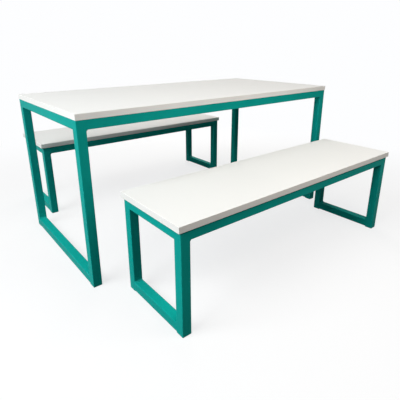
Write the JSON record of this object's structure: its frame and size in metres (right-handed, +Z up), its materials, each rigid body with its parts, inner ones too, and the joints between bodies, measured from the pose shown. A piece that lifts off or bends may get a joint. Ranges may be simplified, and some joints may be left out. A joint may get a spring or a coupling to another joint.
{
  "type": "dining table and bench set",
  "caption": "Rectangular dining table with matching benches: white edge-banded boards on teal welded square-tube frames with closed end loops, benches slide under the table.",
  "frame": {"origin": "on the floor, under the middle of the table top and of the whole set", "axes": "+Z up, +X along the table's length to the right as seen from the front bench, +Y from the front bench to the rear bench"},
  "size_m": [1.6, 1.77, 0.76],
  "materials": {
    "white_board": "satin white melamine facing on chipboard",
    "edge_band": "satin white edge band",
    "teal_powder_coat": "satin teal powder coat on steel",
    "dark_plastic": "moulded dark plastic",
    "zinc_steel": "bright zinc plate"
  },
  "bodies": {
    "table": {"table_edge_band_front": "edge_band", "table_edge_band_left": "edge_band", "table_edge_band_rear": "edge_band", "table_edge_band_right": "edge_band", "table_end_rail_left": "teal_powder_coat", "table_end_rail_right": "teal_powder_coat", "table_fixing_cleats": "teal_powder_coat", "table_foot_glides": "dark_plastic", "table_foot_rail_left": "teal_powder_coat", "table_foot_rail_right": "teal_powder_coat", "table_leg_front_left": "teal_powder_coat", "table_leg_front_right": "teal_powder_coat", "table_leg_rear_left": "teal_powder_coat", "table_leg_rear_right": "teal_powder_coat", "table_rail_front": "teal_powder_coat", "table_rail_rear": "teal_powder_coat", "table_top": "white_board", "table_top_screws": "zinc_steel", "table_weld_beads": "teal_powder_coat"},
    "front_bench": {"front_bench_edge_band_front": "edge_band", "front_bench_edge_band_left": "edge_band", "front_bench_edge_band_rear": "edge_band", "front_bench_edge_band_right": "edge_band", "front_bench_end_rail_left": "teal_powder_coat", "front_bench_end_rail_right": "teal_powder_coat", "front_bench_fixing_cleats": "teal_powder_coat", "front_bench_foot_glides": "dark_plastic", "front_bench_foot_rail_left": "teal_powder_coat", "front_bench_foot_rail_right": "teal_powder_coat", "front_bench_leg_front_left": "teal_powder_coat", "front_bench_leg_front_right": "teal_powder_coat", "front_bench_leg_rear_left": "teal_powder_coat", "front_bench_leg_rear_right": "teal_powder_coat", "front_bench_rail_front": "teal_powder_coat", "front_bench_rail_rear": "teal_powder_coat", "front_bench_seat": "white_board", "front_bench_seat_screws": "zinc_steel", "front_bench_weld_beads": "teal_powder_coat"},
    "rear_bench": {"rear_bench_edge_band_front": "edge_band", "rear_bench_edge_band_left": "edge_band", "rear_bench_edge_band_rear": "edge_band", "rear_bench_edge_band_right": "edge_band", "rear_bench_end_rail_left": "teal_powder_coat", "rear_bench_end_rail_right": "teal_powder_coat", "rear_bench_fixing_cleats": "teal_powder_coat", "rear_bench_foot_glides": "dark_plastic", "rear_bench_foot_rail_left": "teal_powder_coat", "rear_bench_foot_rail_right": "teal_powder_coat", "rear_bench_leg_front_left": "teal_powder_coat", "rear_bench_leg_front_right": "teal_powder_coat", "rear_bench_leg_rear_left": "teal_powder_coat", "rear_bench_leg_rear_right": "teal_powder_coat", "rear_bench_rail_front": "teal_powder_coat", "rear_bench_rail_rear": "teal_powder_coat", "rear_bench_seat": "white_board", "rear_bench_seat_screws": "zinc_steel", "rear_bench_weld_beads": "teal_powder_coat"}
  },
  "joints": [
    {"name": "front_bench_slide", "type": "slide", "parent": "table", "child": "front_bench", "axis": [0, 1, 0], "range_m": [-0.3, 0.47]},
    {"name": "rear_bench_slide", "type": "slide", "parent": "table", "child": "rear_bench", "axis": [0, -1, 0], "range_m": [-0.3, 0.47]}
  ]
}
